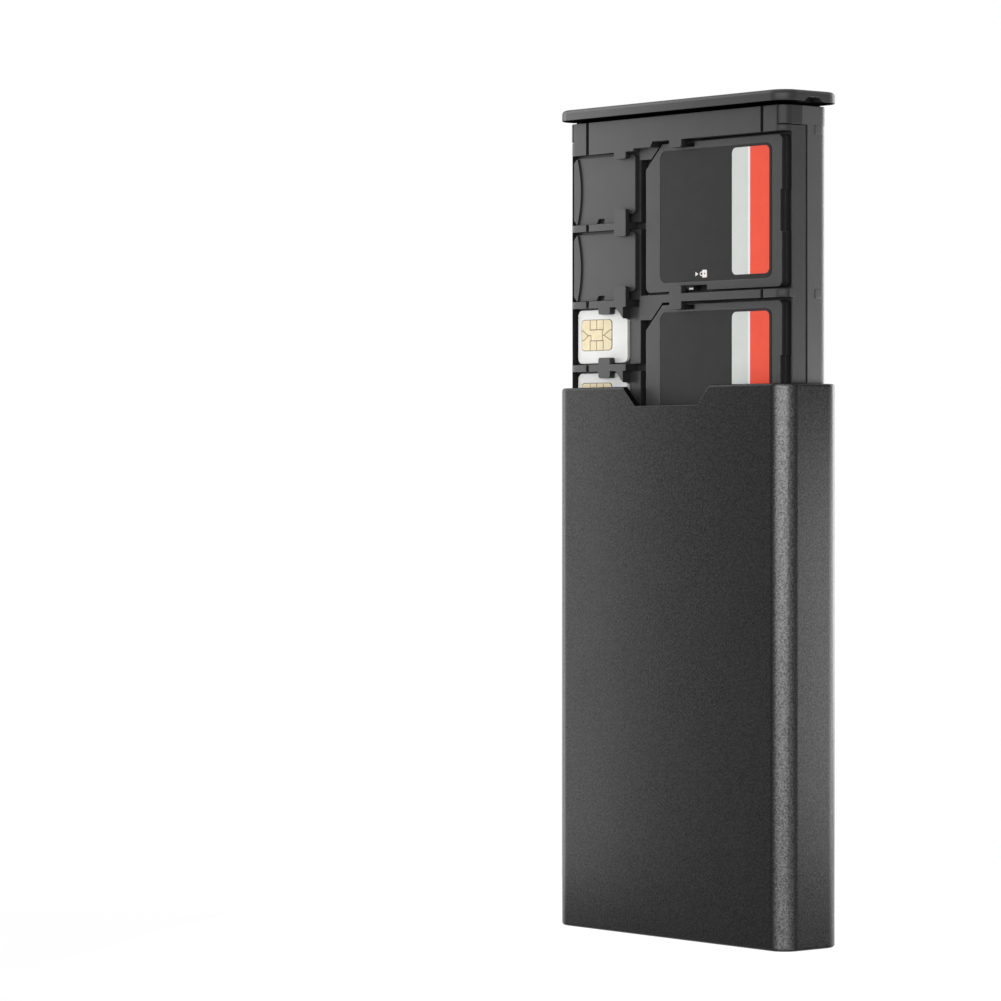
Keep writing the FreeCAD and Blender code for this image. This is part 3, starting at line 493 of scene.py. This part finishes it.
def add_lock_sign(n, left, low, front):
    """The sign beside the slider: an arrow and a padlock that lies on its side."""
    middle = low + SIGN_RISE
    arrow = [(left + ARROW_BACK, middle - ARROW_HALF), (left + ARROW_TIP, middle),
             (left + ARROW_BACK, middle + ARROW_HALF)]
    bow, foot, end = left + SHACKLE_LEFT + SHACKLE_WIDE, left + LOCK_LEFT, left + LOCK_RIGHT
    inside = SHACKLE_WIDE - SHACKLE_WIRE
    outer = arc(bow, middle, SHACKLE_WIDE, QUARTER_TURN, HALF_TURN)
    inner = arc(bow, middle, inside, -QUARTER_TURN, -HALF_TURN)
    shackle = [(foot, middle + SHACKLE_WIDE), *outer, (foot, middle - SHACKLE_WIDE),
               (foot, middle - inside), *inner, (foot, middle + inside)]
    case = rounded_box(foot, end, middle - LOCK_HALF, middle + LOCK_HALF, 0, LOCK_CORNER)
    flat_piece(f"sd_card_{n}_sign", [arrow, shackle, case], front, "tray", "print_pale")
    hole = arc((foot + end) / 2, middle, KEYHOLE, 0, FULL_TURN)[:-1]
    flat_piece(f"sd_card_{n}_sign_keyhole", [hole], front, "tray", "card_label", KEYHOLE_RISE)


# Painted shade: a thin dark strip by the card's margin stands for the shade of a fine groove.
MARGIN_PLACE, MARGIN_WIDTH, MARGIN_RISE = 30.85 * MM, 0.16 * MM, 0.01 * MM
MARGIN_BELOW, MARGIN_ABOVE = 4.5 * MM, 4.1 * MM
MARK_LENGTH, MARK_LOW, MARK_HIGH = 0.95 * MM, 0.12 * MM, 0.40 * MM


def add_card_details(n):
    """The stripe, the sign, a thin dark strip that paints the shade of a groove by the margin, and the
    slider's mark, of one SD card.
    """
    low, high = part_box(f"sd_card_{n}_front_shell")
    add_stripe(n, low.x, low.z, high.z, low.y)
    add_lock_sign(n, low.x, low.z, low.y)
    place = low.x + MARGIN_PLACE
    line = rounded_box(place, place + MARGIN_WIDTH, low.z + MARGIN_BELOW, high.z - MARGIN_ABOVE)
    flat_piece(f"sd_card_{n}_margin_groove_shade", [line], low.y, "tray", "card_lock", MARGIN_RISE)
    first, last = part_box(f"sd_card_{n}_lock")
    mark = rounded_box(last.x - MARK_LENGTH, last.x, first.z + MARK_LOW, first.z + MARK_HIGH)
    flat_piece(f"sd_card_{n}_lock_mark", [mark], first.y, f"sd_card_{n}_lock", "print_pale")


# Contact pads as shares of the plate's width from its left and of its height from its top
PAD_SHARES = {
    "1": ((0.287, 0), (0.502, 0), (0.502, 0.326), (0.287, 0.326)),
    "2": ((0.502, 0), (0.718, 0), (0.718, 0.326), (0.502, 0.326)),
    "3": ((0.718, 0), (1, 0), (1, 0.33), (0.93, 0.348), (0.747, 0.51), (0.695, 0.51), (0.695, 0.326),
          (0.718, 0.326)),
    "4": ((1, 0.33), (1, 0.67), (0.94, 0.663), (0.747, 0.51), (0.93, 0.348)),
    "5": ((0.695, 0.51), (0.747, 0.51), (0.94, 0.663), (1, 0.67), (1, 1), (0.718, 1), (0.718, 0.681),
          (0.695, 0.681)),
    "6": ((0.502, 0.681), (0.718, 0.681), (0.718, 1), (0.502, 1)),
    "7": ((0.287, 0.681), (0.502, 0.681), (0.502, 1), (0.287, 1)),
    "8": ((0, 0.68), (0.086, 0.654), (0.23, 0.51), (0.316, 0.51), (0.316, 0.681), (0.287, 0.681), (0.287, 1),
          (0, 1)),
    "9": ((0, 0.33), (0.057, 0.357), (0.23, 0.51), (0.086, 0.654), (0, 0.68)),
    "10": ((0, 0), (0.287, 0), (0.287, 0.326), (0.695, 0.326), (0.695, 0.681), (0.316, 0.681), (0.316, 0.51),
           (0.23, 0.51), (0.057, 0.357), (0, 0.33)),
}
PAD_GAP = 0.075 * MM
PAD_CORNER = 0.78 * MM
PAD_CORNER_STARTS = {(0, 0): HALF_TURN, (1, 0): QUARTER_TURN, (1, 1): 0, (0, 1): -QUARTER_TURN}


def pad_outline(shares, low, high):
    """One pad in the plate's place, with the plate's own round corners."""
    wide, tall = high.x - low.x, high.z - low.z
    points = []
    for u, v in shares:
        x, z = low.x + u * wide, high.z - v * tall
        if (u, v) in PAD_CORNER_STARTS:
            centre = (x + (1 - 2 * u) * PAD_CORNER, z - (1 - 2 * v) * PAD_CORNER)
            points += arc(*centre, PAD_CORNER, PAD_CORNER_STARTS[u, v], -QUARTER_TURN)
        else:
            points.append((x, z))
    return points


def add_contact_pads(n):
    """The gilded pads of one SIM card, parted by narrow lines of the plate below."""
    low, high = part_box(f"sim_card_{n}_contacts")
    for name, shares in PAD_SHARES.items():
        outline = pad_outline(shares, low, high)
        flat_piece(f"sim_card_{n}_pad_{name}", [outline], low.y, "tray", "contact_gold",
                   gap=PAD_GAP)


for card in SD_CARDS:
    add_card_details(card)
for card in SIM_CARDS:
    add_contact_pads(card)


# Camera

VIEW_ANGLE = math.radians(50.134)
VIEW_DOWN = math.radians(0.347)
VIEW_PLACE = (502.36 * MM, -460.61 * MM, 74.62 * MM)
PICTURE_PIXELS = 1001
FOCAL_PIXELS = 4202.7
SENSOR_WIDTH = 36
CLIP_START, CLIP_END = 0.01, 20


def make_camera():
    """The photograph's viewpoint."""
    data = bpy.data.cameras.new("view")
    data.sensor_width = SENSOR_WIDTH
    data.lens = SENSOR_WIDTH * FOCAL_PIXELS / PICTURE_PIXELS
    data.clip_start, data.clip_end = CLIP_START, CLIP_END
    camera = bpy.data.objects.new("view", data)
    bpy.context.scene.collection.objects.link(camera)
    camera.location = VIEW_PLACE
    camera.rotation_euler = (math.radians(QUARTER_TURN) - VIEW_DOWN, 0, VIEW_ANGLE)
    bpy.context.scene.camera = camera


make_camera()


# Studio, with its lengths in metres

WHITE = (1, 1, 1, 1)
FLOOR_RADIUS, FLOOR_SIDES, FLOOR_DROP = 4.0, 96, 0.02 * MM
FLOOR_TONE = (*grey(0.40), 1)
FLOOR_GLOW = 0.80
FADE_START, FADE_END = 0.06, 0.22


def seen_rays(owner):
    """One for rays from the eye, a reflection or glass, and none for rays that only carry light."""
    path = add_node(owner, "LightPath")
    seen = path.outputs["Is Camera Ray"]
    for ray in ("Is Glossy Ray", "Is Transmission Ray"):
        seen = calculate(owner, "MAXIMUM", seen, path.outputs[ray])
    return seen


def floor_material():
    """Pale near the object, where its shadow falls, and white further out."""
    material = bpy.data.materials.new("floor")
    material.use_nodes = True
    tree = material.node_tree
    tree.nodes.remove(tree.nodes[SHADER])
    seen = seen_rays(material)
    place = add_node(material, "TexCoord").outputs["Object"]
    reach = add_node(material, "VectorMath", {0: place}, operation="LENGTH").outputs["Value"]
    far = spread(material, reach, 0, 1, FADE_START, FADE_END)
    glow = spread(material, seen, 0, FLOOR_GLOW, 0, 1)
    matt = add_node(material, "BsdfDiffuse", {"Color": FLOOR_TONE}).outputs[0]
    lift = add_node(material, "Emission", {"Color": WHITE, "Strength": glow}).outputs[0]
    near = add_node(material, "AddShader", {0: matt, 1: lift}).outputs[0]
    white = add_node(material, "Emission", {"Color": WHITE, "Strength": 1}).outputs[0]
    share = calculate(material, "MULTIPLY", far, seen)
    blend = add_node(material, "MixShader", {0: share, 1: near, 2: white}).outputs[0]
    tree.links.new(blend, tree.nodes["Material Output"].inputs["Surface"])
    return material


def make_floor():
    """A pale floor that keeps the object's shadow and fades into the white surroundings."""
    shape = bmesh.new()
    bmesh.ops.create_circle(shape, cap_ends=True, segments=FLOOR_SIDES, radius=FLOOR_RADIUS)
    data = bpy.data.meshes.new("floor")
    shape.to_mesh(data)
    shape.free()
    floor = bpy.data.objects.new("floor", data)
    floor.location.z = -FLOOR_DROP
    bpy.context.scene.collection.objects.link(floor)
    data.materials.append(floor_material())


WORLD_LEVEL = 0.15


def make_world():
    """White surroundings for the eye and for reflections, and an even soft light at a plain level."""
    world = bpy.data.worlds.new("surroundings")
    bpy.context.scene.world = world
    world.use_nodes = True
    back = world.node_tree.nodes["Background"]
    back.inputs["Color"].default_value = WHITE
    strength = spread(world, seen_rays(world), WORLD_LEVEL, 1, 0, 1)
    world.node_tree.links.new(strength, back.inputs["Strength"])


# Soft lights: the angle round their aim and the rise above it in degrees, their reach and size,
# and how bright they look from the front.
CASE_MIDDLE = (0, 0, 75 * MM)
LAMPS = {
    "front_light": dict(angle=31, rise=2, reach=0.75, width=1.10, height=0.52, radiance=2.75),
    "left_panel": dict(angle=-60, rise=0, reach=0.060, width=0.045, height=0.30, radiance=3.0,
                       aim=(-25 * MM, -5 * MM, 68 * MM)),
    "back_light": dict(angle=147, rise=0, reach=0.14, width=0.07, height=0.08, radiance=8.0,
                       aim=(27 * MM, 0, 40 * MM)),
    "rim_light": dict(angle=180, rise=2, reach=0.50, width=0.30, height=0.50, radiance=3.0),
    "top_light": dict(angle=0, rise=80, reach=0.60, width=0.50, height=0.50, radiance=0.6),
}
POWER_OF_RADIANCE = 4


def make_softbox(name, angle, rise, reach, width, height, radiance, aim=CASE_MIDDLE):
    """A rectangular soft light at an angle round a place, turned to it."""
    data = bpy.data.lights.new(name, "AREA")
    data.shape = "RECTANGLE"
    data.size, data.size_y = width, height
    data.energy = POWER_OF_RADIANCE * radiance * width * height
    lamp = bpy.data.objects.new(name, data)
    lamp.visible_camera = False
    bpy.context.scene.collection.objects.link(lamp)
    turn, lift = math.radians(angle), math.radians(rise)
    way = Vector((math.sin(turn) * math.cos(lift), -math.cos(turn) * math.cos(lift), math.sin(lift)))
    lamp.location = Vector(aim) + way * reach
    lamp.rotation_euler = (-way).to_track_quat("-Z", "Y").to_euler()


def make_studio():
    """Standard colours, a pale floor, white surroundings and the soft lights."""
    bpy.context.scene.view_settings.view_transform = "Standard"
    make_floor()
    make_world()
    for name, lamp in LAMPS.items():
        make_softbox(name, **lamp)


make_studio()
